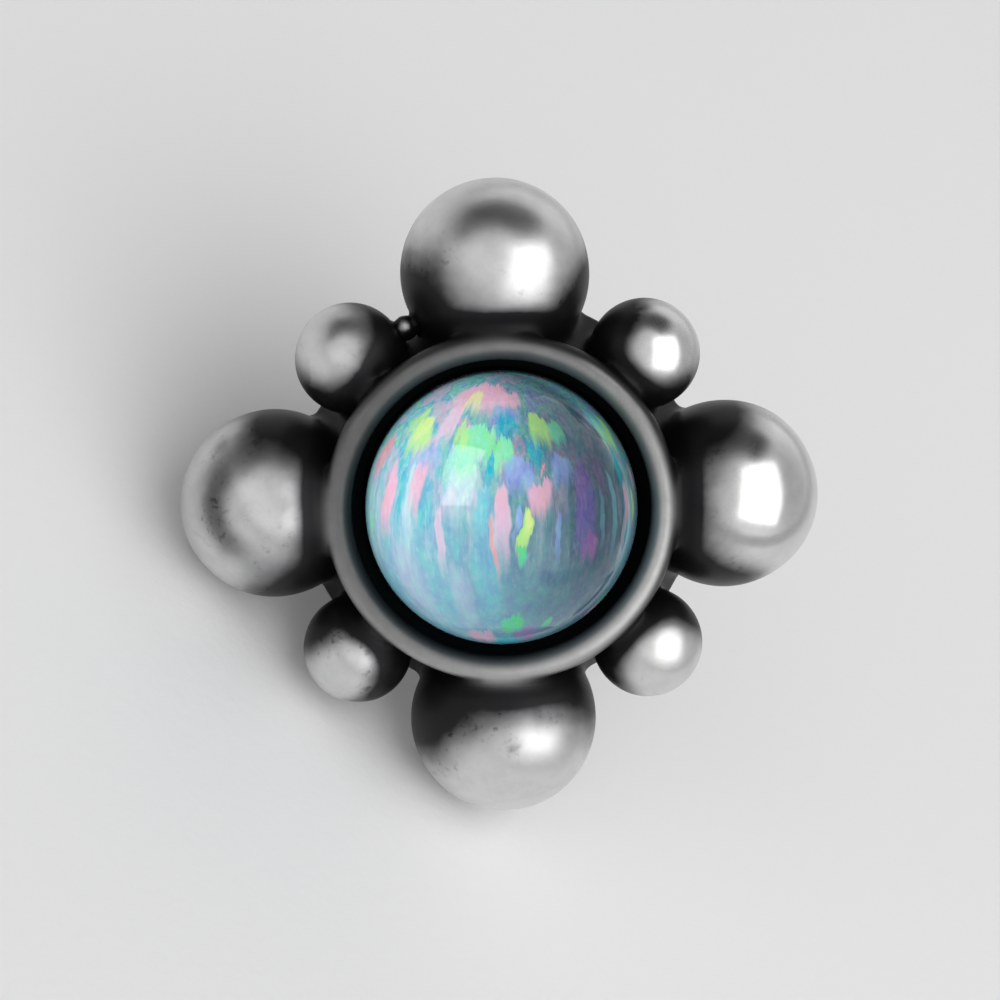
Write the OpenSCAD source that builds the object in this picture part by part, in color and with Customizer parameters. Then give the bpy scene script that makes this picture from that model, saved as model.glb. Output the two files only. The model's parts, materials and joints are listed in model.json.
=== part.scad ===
// Decorative threaded end for a piercing: a domed opal in a beaded setting on a threaded post.
// It lies as it rests by itself, on the tip of its post and two large beads, with its face up.
//
// Each sub-part is drawn in its own upright frame: +Z out of the face, +Y towards the top bead,
// and z = 0 at the centres of the large beads. laid_down() then turns it into the resting pose,
// where +Z is up, -Y is the side that the face looks to and z = 0 is the surface it lies on.

/* [Beads] */
// Large beads round the rim, with a small one between each two
bead_count = 4; // [4:1:5]
// Diameter of a large bead
bead_d = 1.2; // [1.1:0.02:1.3]
// Diameter of the circle through the large beads' centres
bead_circle_d = 2.88; // [2.8:0.02:3]
// Diameter of a small bead
small_bead_d = 0.7; // [0.6:0.02:0.74]
// Diameter of the circle through the small beads' centres
small_bead_circle_d = 2.62; // [2.5:0.02:2.7]
// Height of the small beads' centres over the large ones'
small_bead_rise = 0.15; // [0.1:0.01:0.2]

/* [Hub] */
// Depth of the flat back below the large beads' centres
back_depth = 0.22; // [0.18:0.01:0.26]
// Diameter of the hub at its back edge
back_d = 2.58; // [2.5:0.02:2.7]
// Bevel along the back edge
back_bevel = 0.03; // [0.02:0.01:0.05]
// Diameter of the waist under the cup's rim
waist_d = 2.06; // [2:0.02:2.1]
// Height of the waist over the large beads' centres
waist_rise = 0.26; // [0.2:0.01:0.3]

/* [Cup] */
// Diameter of the circle along the crest of the rolled rim
rim_d = 2.04; // [2.02:0.01:2.06]
// Thickness of the rolled rim
rim_t = 0.17; // [0.15:0.01:0.2]
// Height of the rim's crest over the large beads' centres
rim_rise = 0.56; // [0.5:0.01:0.6]
// Depth of the open channel round the stone, below the rim's crest
channel_depth = 0.22; // [0.15:0.01:0.25]

/* [Opal] */
// Diameter of the stone
opal_d = 1.7; // [1.66:0.01:1.74]
// Height of the dome's centre over the large beads' centres
dome_rise = 0.45; // [0.4:0.01:0.5]
// Height of the straight girdle under the dome
girdle_h = 0.26; // [0.2:0.01:0.28]
// Bevel round the stone's foot
opal_bevel = 0.06; // [0.04:0.01:0.1]

/* [Post] */
// Outer diameter of the thread and of the shoulder above it, M1.2
thread_d = 1.2; // [1.15:0.01:1.25]
// Pitch of the thread
thread_pitch = 0.25; // [0.2:0.01:0.26]
// Amount by which the thread's crests narrow towards the lead-in, on the diameter
thread_taper = 0.02; // [0.01:0.01:0.04]
// Length of the post behind the flat back
post_l = 1.4; // [1.3:0.05:1.8]
// Diameter of the tip
tip_d = 1; // [0.96:0.01:1.04]
// Length of the tapered lead-in at the tip
lead_in_l = 0.2; // [0.15:0.01:0.25]
// Length of the plain shoulder between the back and the thread
shoulder_l = 0.25; // [0.2:0.01:0.3]
// Diameter of the stem pressed into the hub
stem_d = 0.84; // [0.7:0.01:0.84]
// Length of the stem, from the flat back
stem_l = 0.24; // [0.15:0.01:0.25]
// Depth of the recess that the shoulder is seated in
recess_depth = 0.06; // [0.05:0.01:0.1]
// Diameter of that recess
recess_d = 1.34; // [1.3:0.01:1.4]

/* [Fit] */
// Clearance round the opal and the stem, and under the shoulder
clearance = 0.02; // [0.01:0.005:0.03]

/* [Hidden] */
$fn = 96;

bead_r = bead_d / 2;
bead_circle_r = bead_circle_d / 2;
small_bead_r = small_bead_d / 2;
small_bead_circle_r = small_bead_circle_d / 2;
opal_r = opal_d / 2;
rim_r = rim_d / 2;
back_z = -back_depth;
rim_z = rim_rise - rim_t / 2;
seat_floor_z = dome_rise - girdle_h - clearance;
channel_z = rim_rise - channel_depth;

// Thread form with 60 degree flanks, a crest flat of an eighth of the pitch and a deeper root
thread_r = thread_d / 2;
thread_depth = 0.6134 * thread_pitch;
root_r = thread_r - thread_depth;
flank_slope = tan(30);
root_w = thread_pitch * 7 / 8 - 2 * thread_depth * flank_slope;
// The groove's cutter stands a little proud of the crests, and runs out over the last turns
cutter_over = 0.015;
cutter_steps = 24;
run_out_turns = 0.5;

tip_r = tip_d / 2;
tip_z = back_z - post_l;
lead_in_z = tip_z + lead_in_l;
shoulder_z = back_z - shoulder_l;

// Resting pose: it leans towards the gap between two large beads, and the plane that it lies on
// touches the edge of the tip and the round edges of those two beads' flat backs
bead_step = 360 / bead_count;
lean_azimuth = 90 + 1.5 * bead_step;
bead_flat_r = sqrt(bead_r * bead_r - back_depth * back_depth);
bead_out = bead_circle_r * cos(bead_step / 2);
tilt = atan2(post_l, bead_out + bead_flat_r - tip_r);
lift = -tip_z * cos(tilt) + tip_r * sin(tilt);
front_y = max(
    bead_out * cos(tilt) + bead_r,
    small_bead_circle_r * cos(tilt) + small_bead_rise * sin(tilt) + small_bead_r,
    dome_rise * sin(tilt) + opal_r
);
rear_y = -tip_z * sin(tilt) + tip_r * cos(tilt);

module laid_down() {
    translate([0, (front_y - rear_y) / 2, lift])
        rotate([tilt, 0, 0])
            rotate([0, 0, 270 - lean_azimuth])
                children();
}

module ring_of_beads(r, circle_r, z, first_azimuth) {
    for (i = [0 : bead_count - 1])
        rotate([0, 0, first_azimuth + i * bead_step])
            translate([circle_r, 0, z])
                sphere(r);
}

// Back plate that flares out from the waist, with the cup's wall above it
module hub() {
    rotate_extrude()
        polygon([
            [0, back_z - back_depth],
            [back_d / 2 - back_bevel, back_z - back_depth],
            [back_d / 2 - back_bevel, back_z],
            [back_d / 2, back_z + back_bevel],
            [waist_d / 2, waist_rise],
            [waist_d / 2, rim_z],
            [0, rim_z]
        ]);
    rotate_extrude()
        translate([rim_r, rim_z])
            circle(rim_t / 2);
}

// Room for the stone: a close seat below and an open channel round the stone above
module cup_hollow() {
    seat_r = opal_r + clearance;
    channel_r = rim_r - rim_t / 2;
    translate([0, 0, seat_floor_z])
        cylinder(r = seat_r, h = rim_rise);
    translate([0, 0, channel_z])
        cylinder(r = channel_r, h = rim_rise);
}

// Hole for the post's stem, and the shallow recess for its shoulder
module post_hole() {
    translate([0, 0, back_z])
        cylinder(d = stem_d + 2 * clearance, h = stem_l + clearance);
    translate([0, 0, back_z - back_depth])
        cylinder(d = recess_d, h = back_depth + recess_depth);
}

module setting_body() {
    difference() {
        union() {
            hub();
            ring_of_beads(bead_r, bead_circle_r, 0, 90);
            ring_of_beads(small_bead_r, small_bead_circle_r, small_bead_rise, 90 + bead_step / 2);
        }
        // The beads and the hub share one flat back
        translate([0, 0, back_z - bead_d])
            cylinder(d = 2 * bead_circle_d, h = bead_d);
        cup_hollow();
        post_hole();
    }
}

module opal_body() {
    girdle_z = dome_rise - girdle_h;
    intersection() {
        translate([0, 0, dome_rise])
            sphere(opal_r);
        translate([0, 0, dome_rise])
            cylinder(r = opal_d, h = opal_d);
    }
    translate([0, 0, girdle_z + opal_bevel])
        cylinder(r = opal_r, h = girdle_h - opal_bevel);
    translate([0, 0, girdle_z])
        cylinder(r1 = opal_r - opal_bevel, r2 = opal_r, h = opal_bevel);
}

// Section of the thread's groove where its floor is at radius floor_r: distance from the axis and
// height over the groove's middle
function groove_section(floor_r) =
    let (
        outer_r = thread_r + cutter_over,
        floor_w = root_w + 2 * (floor_r - root_r) * flank_slope,
        outer_w = root_w + 2 * (outer_r - root_r) * flank_slope
    )
    [[floor_r, -floor_w / 2], [outer_r, -outer_w / 2], [outer_r, outer_w / 2], [floor_r, floor_w / 2]];

// Right-hand helical cutter, from below the tip to the shoulder. It leaves the tip's edge whole on
// the side that the piece leans on and on the far side.
module thread_cutter() {
    corners = 4;
    first_turn = -1;
    last_turn = (shoulder_z - tip_z) / thread_pitch - 0.5;
    rings = ceil((last_turn - first_turn) * cutter_steps);
    exit_azimuth = lean_azimuth + 90;
    points = [
        for (i = [0 : rings])
            let (
                turn = first_turn + (last_turn - first_turn) * i / rings,
                azimuth = exit_azimuth + 360 * turn,
                run_out = max(0, 1 - (last_turn - turn) / run_out_turns),
                floor_r = root_r + run_out * (thread_depth + cutter_over / 2)
            )
            for (p = groove_section(floor_r))
                [p[0] * cos(azimuth), p[0] * sin(azimuth), tip_z + thread_pitch * turn + p[1]]
    ];
    sides = [
        for (i = [0 : rings - 1], j = [0 : corners - 1])
            let (
                a = i * corners + j,
                b = i * corners + (j + 1) % corners,
                c = b + corners,
                d = a + corners
            )
            each [[a, b, c], [a, c, d]]
    ];
    first_cap = [for (j = [corners - 1 : -1 : 0]) j];
    last_cap = [for (j = [0 : corners - 1]) rings * corners + j];
    polyhedron(points, concat(sides, [first_cap, last_cap]));
}

module post_body() {
    // Stem and shoulder
    translate([0, 0, shoulder_z])
        cylinder(d = stem_d, h = shoulder_l + stem_l);
    translate([0, 0, shoulder_z])
        cylinder(r = thread_r, h = shoulder_l + recess_depth - clearance);
    // Thread, and the lead-in at the tip
    crest_r = thread_r - thread_taper / 2;
    difference() {
        union() {
            translate([0, 0, lead_in_z])
                cylinder(r1 = crest_r, r2 = thread_r, h = shoulder_z - lead_in_z);
            translate([0, 0, tip_z])
                cylinder(r1 = tip_r, r2 = crest_r, h = lead_in_l);
        }
        thread_cutter();
    }
}

module setting() {
    color([0.42, 0.42, 0.42]) laid_down() setting_body();
}

module opal() {
    color([0.66, 0.82, 0.9]) laid_down() opal_body();
}

module threaded_post() {
    color([0.8, 0.8, 0.8]) laid_down() post_body();
}

setting();
opal();
threaded_post();
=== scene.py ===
"""Looks for a piercing top: a domed opal in a beaded, darkened setting on a threaded post.

Every piece is built in the top's own upright frame, in millimetres: +Z out of the face, +Y towards
the top bead and z = 0 at the centres of the large beads. LAID_DOWN then takes it to the row frame,
where the top rests on the tip of its post and two large beads.
"""

import json
import math

import bpy
import numpy as np
from mathutils import Matrix, Vector


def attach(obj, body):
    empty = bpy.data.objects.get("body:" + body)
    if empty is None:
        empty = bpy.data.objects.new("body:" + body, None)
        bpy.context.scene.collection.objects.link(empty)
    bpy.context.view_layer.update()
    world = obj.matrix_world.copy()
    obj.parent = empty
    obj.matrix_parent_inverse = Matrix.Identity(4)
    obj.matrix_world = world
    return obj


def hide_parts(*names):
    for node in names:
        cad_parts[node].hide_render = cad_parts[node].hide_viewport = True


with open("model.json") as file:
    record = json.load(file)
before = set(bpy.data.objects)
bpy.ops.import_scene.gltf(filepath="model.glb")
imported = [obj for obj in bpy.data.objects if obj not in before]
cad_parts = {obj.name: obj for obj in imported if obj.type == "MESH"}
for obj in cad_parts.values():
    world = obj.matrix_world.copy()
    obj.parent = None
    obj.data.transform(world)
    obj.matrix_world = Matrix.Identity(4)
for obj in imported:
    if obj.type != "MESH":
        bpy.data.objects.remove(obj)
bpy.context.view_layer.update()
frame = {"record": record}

MM = 0.001

# Sizes of the CAD model, in millimetres
BEAD_R = 0.6
BEAD_CIRCLE_R = 1.44
SMALL_BEAD_R = 0.35
SMALL_BEAD_CIRCLE_R = 1.31
SMALL_BEAD_RISE = 0.15
BACK_Z = -0.22
BACK_R = 1.29
WAIST_R = 1.03
WAIST_Z = 0.26
RIM_R = 1.02
RIM_WIRE_R = 0.085
RIM_Z = 0.475
SEAT_R = 0.87
SEAT_Z = 0.17
CHANNEL_R = 0.935
CHANNEL_Z = 0.34
RECESS_R = 0.67
RECESS_TOP_Z = -0.16
STEM_HOLE_R = 0.44
STEM_HOLE_TOP_Z = 0.04
OPAL_R = 0.85
DOME_Z = 0.45
GIRDLE_Z = 0.19
OPAL_BEVEL = 0.06
THREAD_R = 0.6
THREAD_PITCH = 0.25
THREAD_DEPTH = 0.6134 * THREAD_PITCH
THREAD_CREST_R = 0.59
TIP_R = 0.5
TIP_Z = -1.62
LEAD_IN_Z = -1.42
SHOULDER_Z = -0.47
SHOULDER_TOP_Z = -0.18
STEM_R = 0.42
STEM_TOP_Z = 0.02
GROOVE_EXIT_AZIMUTH = 315.0

# The top leans towards the gap between its left and its bottom bead
LEAN_AZIMUTH = 225.0


def laid_down():
    """Matrix from the top's own frame to the row frame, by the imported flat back."""
    back = next(m for m in frame["record"]["mounts"] if m["name"] == "back_face")
    normal = -Vector(back["axis"]).normalized()
    origin = Vector(back["pos_m"]) - normal * BACK_Z * MM
    across = Vector((1, 0, 0))
    along = normal.cross(across)
    turn = math.radians(270 - LEAN_AZIMUTH)
    x_axis = across * math.cos(turn) + along * math.sin(turn)
    y_axis = normal.cross(x_axis)
    matrix = Matrix((x_axis, y_axis, normal)).transposed().to_4x4()
    matrix.translation = origin
    return matrix


LAID_DOWN = laid_down()


# Distance fields: each takes points in millimetres, an array of N x 3, and is negative inside


def smooth_min(a, b, reach):
    blend = np.maximum(reach - np.abs(a - b), 0) / reach
    return np.minimum(a, b) - blend * blend * reach / 4


def smooth_max(a, b, reach):
    return -smooth_min(-a, -b, reach)


def to_ball(points, centre, radius):
    return np.linalg.norm(points - np.asarray(centre, float), axis=1) - radius


def to_outline(radial, height, corners):
    """Distance to a closed outline of (radius, height) corners, turned round the axis."""
    best = np.full(radial.shape, np.inf)
    sign = np.ones(radial.shape)
    for (r1, z1), (r0, z0) in zip(corners, corners[-1:] + corners[:-1]):
        edge_r, edge_z = r0 - r1, z0 - z1
        away_r, away_z = radial - r1, height - z1
        share = (away_r * edge_r + away_z * edge_z) / (edge_r**2 + edge_z**2)
        share = np.clip(share, 0, 1)
        best = np.minimum(best, (away_r - edge_r * share) ** 2 + (away_z - edge_z * share) ** 2)
        over, under, left = height >= z1, height < z0, edge_r * away_z > edge_z * away_r
        sign[(over & under & left) | ~(over | under | left)] *= -1
    return sign * np.sqrt(best)


def ring_centres(count, circle_r, height, first_azimuth):
    turns = [math.radians(first_azimuth + 360 * i / count) for i in range(count)]
    return [(circle_r * math.cos(t), circle_r * math.sin(t), height) for t in turns]


BEADS = ring_centres(4, BEAD_CIRCLE_R, 0, 90)
SMALL_BEADS = ring_centres(4, SMALL_BEAD_CIRCLE_R, SMALL_BEAD_RISE, 135)

# A small nub that the casting left between the top bead and the small one to its left
NUB = (-0.575, 1.11, 0.10)
NUB_R = 0.08

# Reach of the soft junctions between the forms, and of the rounding along the cut edges
RIM_JUNCTION = 0.09
BEAD_JUNCTION = 0.09
SMALL_BEAD_JUNCTION = 0.07
NUB_JUNCTION = 0.03
SEAT_EDGE = 0.02
BACK_EDGE = 0.05
RECESS_EDGE = 0.04

# Marks of the casting and of wear: centre, radius and height over the surface, in millimetres
MARKS = (
    ((0.03, -1.5, 0.6), 0.026, -0.005),
    ((0.075, -1.48, 0.6), 0.018, -0.004),
    ((-0.55, 1.55, 0.2), 0.05, -0.004),
    ((-1.75, 0.42, 0.30), 0.08, -0.005),
    ((-0.93, -1.22, 0.25), 0.06, -0.010),
    ((-0.84, -1.16, 0.32), 0.04, -0.006),
    ((-0.74, 0.86, 0.42), 0.05, -0.012),
    ((0.9, 1.2, 0.3), 0.04, -0.010),
)

# Where the darkening was left on or rubbed off, partly painted shade and painted dark reflections
# on the beads: centre, radius and amount
STAINS_AND_SHADE = (
    ((0.0, 1.15, 0.4), 0.35, -0.12),
    ((-0.575, 1.125, 0.20), 0.095, -1.0),
    ((-1.15, 0.0, 0.4), 0.35, -0.06),
    ((1.12, 0.0, 0.45), 0.30, 0.10),
    ((0.0, -1.12, 0.45), 0.30, 0.10),
    ((-0.52, -1.36, 0.30), 0.36, 0.40),
    ((0.03, -1.5, 0.6), 0.05, 0.14),
    ((0.10, -1.56, 0.6), 0.09, 0.06),
    ((1.44, 0.52, 0.3), 0.26, 0.26),
    ((1.42, -0.54, 0.25), 0.27, 0.44),
    ((-1.44, 0.52, 0.3), 0.26, 0.24),
    ((-1.40, -0.52, 0.3), 0.26, 0.28),
    ((-1.90, 0.02, 0.20), 0.30, 0.12),
    ((-0.42, 1.46, 0.35), 0.32, 0.22),
    ((-0.45, 1.12, 0.25), 0.22, 0.25),
    ((0.60, 1.36, 0.15), 0.24, 0.22),
    ((0.78, 1.12, 0.35), 0.16, 0.35),
    ((-1.20, -0.78, 0.3), 0.19, 0.20),
    ((-0.70, -1.16, 0.3), 0.18, 0.28),
    ((-1.76, 0.42, 0.30), 0.07, 0.10),
    ((-0.74, 0.86, 0.42), 0.12, 0.3),
    ((0.93, -0.93, 0.4), 0.30, -0.20),
    ((0.93, 0.93, 0.45), 0.22, -0.12),
    ((-0.93, -0.93, 0.45), 0.2, -0.15),
)

# Thin arcs on the faces of the large beads, most of them painted dark reflections and the last a
# faint scratch: the bead's centre, the arc's radius and half width as shares of the bead's, its
# middle azimuth and half spread in degrees, and the amount. The arcs' centre is a little above the
# bead's, by a share of its radius.
ARC_REFLECTIONS_AND_SCRATCH = (
    (0.0, 1.44, 0.62, 0.10, 172, 60, 0.07),
    (0.0, 1.44, 0.60, 0.09, 60, 40, 0.06),
    (-1.44, 0.0, 0.58, 0.20, 185, 100, 0.36),
    (-1.44, 0.0, 0.14, 0.05, 0, 60, 0.05),
    (1.44, 0.0, 0.78, 0.03, 15, 45, 0.07),
)
ARC_RISE = 0.11

# The darkening is deep in the dip outside the rim
MOAT_R = 1.155
MOAT_HALF_W = 0.065
MOAT_STAIN = 0.60

# Where the metal is polished smoother than satin: centre, radius and amount
POLISHED = (
    ((1.60, 0.0, 0.45), 0.62, 0.16),
    ((0.20, 1.44, 0.55), 0.35, 0.05),
    ((-1.44, 0.0, 0.55), 0.45, 0.06),
    ((0.95, 0.95, 0.45), 0.28, 0.13),
)

# Slow unevenness of a hand-finished casting, as a sum of waves
_waves = np.random.default_rng(11)
WAVE_DIRECTIONS = _waves.normal(size=(9, 3)) * 4.2
WAVE_PHASES = _waves.uniform(0, 2 * math.pi, 9)
UNEVENNESS = 0.0012


def unevenness(points):
    return UNEVENNESS * np.sin(points @ WAVE_DIRECTIONS.T + WAVE_PHASES).sum(1)


# The hub's outline: its bevel, the corner where its flare bends, and how far it runs on below the
# back and outwards there, to be cut off flat
HUB_BEVEL = 0.03
FLARE_R = BACK_R - 0.13
FLARE_Z = 0.03
HUB_BELOW = 0.3
HUB_BELOW_OUT = 0.06

# The channel's floor slopes, from below its height at the seat to above it at the wall
CHANNEL_DROP = 0.05
CHANNEL_RISE = 0.03
OVER_ALL_Z = 1.2


def hub_field(points):
    radial, height = np.hypot(points[:, 0], points[:, 1]), points[:, 2]
    hub = to_outline(
        radial,
        height,
        [(0, BACK_Z - HUB_BELOW), (BACK_R + HUB_BELOW_OUT, BACK_Z - HUB_BELOW),
         (BACK_R, BACK_Z + HUB_BEVEL), (FLARE_R, FLARE_Z), (WAIST_R, WAIST_Z), (WAIST_R, RIM_Z),
         (0, RIM_Z)],
    )
    rim = np.hypot(radial - RIM_R, height - RIM_Z) - RIM_WIRE_R
    return smooth_min(hub, rim, RIM_JUNCTION)


def seat_field(points):
    """Seat and channel round the stone."""
    return to_outline(
        np.hypot(points[:, 0], points[:, 1]),
        points[:, 2],
        [(0, SEAT_Z), (SEAT_R, SEAT_Z), (SEAT_R, CHANNEL_Z - CHANNEL_DROP),
         (CHANNEL_R, CHANNEL_Z + CHANNEL_RISE), (CHANNEL_R, OVER_ALL_Z), (0, OVER_ALL_Z)],
    )


def recess_field(points):
    """The recess in the back and the hole for the stem."""
    radial, height = np.hypot(points[:, 0], points[:, 1]), points[:, 2]
    recess = np.maximum(radial - RECESS_R, height - RECESS_TOP_Z)
    stem_hole = np.maximum(radial - STEM_HOLE_R, height - STEM_HOLE_TOP_Z)
    return np.minimum(recess, stem_hole)


def setting_field(points):
    body = hub_field(points)
    beads = np.full(len(points), np.inf)
    for centre in BEADS:
        beads = np.minimum(beads, to_ball(points, centre, BEAD_R))
    small = np.full(len(points), np.inf)
    for centre in SMALL_BEADS:
        small = np.minimum(small, to_ball(points, centre, SMALL_BEAD_R))
    body = smooth_min(body, beads, BEAD_JUNCTION)
    body = smooth_min(body, small, SMALL_BEAD_JUNCTION)
    body = smooth_min(body, to_ball(points, NUB, NUB_R), NUB_JUNCTION)
    body = body + unevenness(points)
    for centre, radius, height in MARKS:
        away = ((points - np.asarray(centre)) ** 2).sum(1)
        body = body - height * np.exp(-away / radius**2)
    body = smooth_max(body, -seat_field(points), SEAT_EDGE)
    body = smooth_max(body, BACK_Z - points[:, 2], BACK_EDGE)
    return smooth_max(body, -recess_field(points), RECESS_EDGE)


NEAR_RIM = 0.03


def near_rim(points):
    """1 on the rolled rim, falling to 0 just off it."""
    radial, height = np.hypot(points[:, 0], points[:, 1]), points[:, 2]
    away = np.hypot(radial - RIM_R, height - RIM_Z) - RIM_WIRE_R
    return np.exp(-((away / NEAR_RIM) ** 2))


# Where the rim's crest is rubbed bright, partly a painted highlight: its circle leans one way, and
# it is brightest on one side, as painted light from that side
CREST_R = 1.035
CREST_SHIFT = 0.035
CREST_SHIFT_AZIMUTH = 218.0
CREST_HALF_W = 0.075
CREST_OUTER_HALF_W = 0.05
CREST_BRIGHT_AZIMUTH = -48.0
CREST_MEAN = 0.64
CREST_SWING = 0.36
# Heights that the rubbing and its painted highlight fade in over, from below the middle of the
# rim's wire
CREST_FADE_BELOW = 0.03
CREST_FADE_H = 0.08


def crest_rubbing_and_highlight(points):
    """How far the darkening is rubbed off the rim, with a painted highlight: up to 1 along its
    crest.
    """
    radial, height = np.hypot(points[:, 0], points[:, 1]), points[:, 2]
    azimuth = np.arctan2(points[:, 1], points[:, 0])
    shift = CREST_SHIFT * np.cos(azimuth - math.radians(CREST_SHIFT_AZIMUTH))
    away = radial - CREST_R - shift
    away = away / np.where(away > 0, CREST_OUTER_HALF_W, CREST_HALF_W)
    facing = np.clip((height - RIM_Z + CREST_FADE_BELOW) / CREST_FADE_H, 0, 1)
    amount = CREST_MEAN + CREST_SWING * np.cos(azimuth - math.radians(CREST_BRIGHT_AZIMUTH))
    return np.exp(-(away**2)) * facing * amount


def spots_at(points, spots):
    """Sum of soft round spots, each a centre, a radius and an amount."""
    return sum(
        amount * np.exp(-((points - np.asarray(centre)) ** 2).sum(1) / radius**2)
        for centre, radius, amount in spots
    )


def moat_stain(points):
    """Darkening in the dip outside the rim, deepest beside the large beads."""
    radial, azimuth = np.hypot(points[:, 0], points[:, 1]), np.arctan2(points[:, 1], points[:, 0])
    across = np.exp(-(((radial - MOAT_R) / MOAT_HALF_W) ** 2)) * (points[:, 2] > 0)
    return MOAT_STAIN * across * (0.6 + 0.4 * np.cos(4 * azimuth))


def arc_reflection_and_scratch(points, x, y, ring, half_w, azimuth, spread, amount):
    """Amount of an arc-shaped darkening round the face of the large bead at x, y; most arcs are
    painted dark reflections, one is a scratch.
    """
    across, along = (points[:, 0] - x) / BEAD_R, (points[:, 1] - y) / BEAD_R - ARC_RISE
    turn = np.arctan2(along, across) - math.radians(azimuth)
    turn = np.abs((turn + math.pi) % (2 * math.pi) - math.pi) / math.radians(spread)
    away = (np.hypot(across, along) - ring) / half_w
    return amount * np.clip(1.6 * (1 - turn), 0, 1) * np.exp(-(away**2)) * (points[:, 2] > 0)


# Darkening spots, arcs and the dip's darkening together, partly painted shade and painted dark
# reflections
def stains_and_shade(points):
    arcs = sum(arc_reflection_and_scratch(points, *arc) for arc in ARC_REFLECTIONS_AND_SCRATCH)
    return spots_at(points, STAINS_AND_SHADE) + arcs + moat_stain(points)


def crowded_field(points):
    """The setting with its stone in place, for judging how closed in a spot is."""
    return np.minimum(setting_field(points), to_ball(points, (0, 0, DOME_Z), OPAL_R))


# Meshing of a distance field, on a grid of this step in millimetres. Nodes where the surface would
# touch itself are filled, in a few rounds, to this depth.
GRID_STEP = 0.0242
GRID_LOW = (-2.09, -2.09, BACK_Z - 0.05)
GRID_HIGH = (2.09, 2.09, 0.66)
FILL_ROUNDS = 3
FILL_DEPTH = 1e-4
SETTLE_ROUNDS = 4
SETTLE_SHARE = 0.4
LEAST_SLOPE = 0.3

UNITS = np.eye(3, dtype=int)


def shifted(grid, offset, span=(1, 1, 1)):
    """The grid's values at one corner of each cell, or of each square where a span is 0."""
    return grid[tuple(slice(o, n - s + o) for o, s, n in zip(offset, span, grid.shape))]


def fill_pinches(values):
    """Fills in the nodes where the surface would touch itself along an edge."""
    for side_a, side_b in ((UNITS[0], UNITS[1]), (UNITS[1], UNITS[2]), (UNITS[0], UNITS[2])):
        span = side_a + side_b
        corners = (0 * span, side_a, span, side_b)
        a, b, c, d = (shifted(values < 0, corner, span) for corner in corners)
        for spot in np.argwhere((a == c) & (b == d) & (a != b)):
            nodes = [tuple(spot + corner) for corner in corners]
            nearest = min((n for n in nodes if values[n] >= 0), key=lambda n: values[n])
            values[nearest] = -FILL_DEPTH


def surface_net(field, low, high, step):
    """Points and quads of a field's surface, one point in each cell that the surface crosses."""
    axes = [np.arange(a, b + step, step) for a, b in zip(low, high)]
    nodes = np.stack(np.meshgrid(*axes, indexing="ij"), -1)
    values = field(nodes.reshape(-1, 3)).reshape(nodes.shape[:3])
    for _ in range(FILL_ROUNDS):
        fill_pinches(values)
    inside = values < 0
    corners = [(i, j, k) for i in (0, 1) for j in (0, 1) for k in (0, 1)]
    filled = sum(shifted(inside, c).astype(int) for c in corners)
    cells = np.argwhere((filled > 0) & (filled < 8))
    index = np.full(filled.shape, -1)
    index[tuple(cells.T)] = np.arange(len(cells))

    total, crossings = np.zeros((len(cells), 3)), np.zeros(len(cells))
    for axis in range(3):
        unit = UNITS[axis]
        for corner in corners:
            if corner[axis]:
                continue
            a = values[tuple((cells + corner).T)]
            b = values[tuple((cells + corner + unit).T)]
            crosses = (a < 0) != (b < 0)
            share = np.where(crosses, a / np.where(crosses, a - b, 1), 0)
            spot = cells + corner + unit * share[:, None]
            total += spot * crosses[:, None]
            crossings += crosses
    points = np.asarray(low) + step * total / crossings[:, None]

    quads = []
    for axis in range(3):
        unit, side_a, side_b = UNITS[axis], UNITS[(axis + 1) % 3], UNITS[(axis + 2) % 3]
        near = tuple(slice(0, n - u) for n, u in zip(inside.shape, unit))
        far = tuple(slice(u, n) for n, u in zip(inside.shape, unit))
        edges = np.argwhere(inside[near] != inside[far])
        leaves = inside[tuple(edges.T)]
        ring = [edges, edges - side_a, edges - side_a - side_b, edges - side_b]
        found = np.stack([index[tuple(r.T)] for r in ring], 1)
        found[~leaves] = found[~leaves, ::-1]
        quads.append(found)
    return points, np.concatenate(quads)


def gradient(field, points, reach=0.003):
    parts = []
    for unit in np.eye(3) * reach:
        parts.append((field(points + unit) - field(points - unit)) / (2 * reach))
    return np.stack(parts, 1)


def normals_of(field, points):
    slope = gradient(field, points)
    return slope / np.maximum(np.linalg.norm(slope, axis=1, keepdims=True), 1e-9)


def settle(field, points, quads, rounds, step):
    """Evens out a net's points along the surface and draws them onto it."""
    ends = np.concatenate([quads[:, [i, (i + 1) % 4]] for i in range(4)])
    for _ in range(rounds):
        total = np.zeros_like(points)
        for axis in range(3):
            total[:, axis] = np.bincount(ends[:, 0], points[ends[:, 1], axis], len(points))
            total[:, axis] += np.bincount(ends[:, 1], points[ends[:, 0], axis], len(points))
        count = np.bincount(ends.ravel(), minlength=len(points))
        away = total / count[:, None] - points
        slope = gradient(field, points)
        size = np.maximum(np.linalg.norm(slope, axis=1, keepdims=True), LEAST_SLOPE)
        normal = slope / size
        away -= normal * (away * normal).sum(1, keepdims=True)
        points = points + SETTLE_SHARE * away
        drop = field(points)[:, None] / size
        points = points - normal * np.clip(drop, -step / 2, step / 2)
    for _ in range(2):
        slope = gradient(field, points)
        size = np.maximum(np.linalg.norm(slope, axis=1, keepdims=True), LEAST_SLOPE)
        drop = field(points)[:, None] / size
        points = points - slope / size * np.clip(drop, -step / 2, step / 2)
    return points


# Values that the materials read at each point


def spread_directions(count):
    """Directions spread evenly over the half of the sphere round +Z."""
    turn = math.pi * (3 - math.sqrt(5))
    rise = (np.arange(count) + 0.5) / count
    flat = np.sqrt(1 - rise**2)
    angle = np.arange(count) * turn
    return np.stack([flat * np.cos(angle), flat * np.sin(angle), rise], 1)


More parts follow.
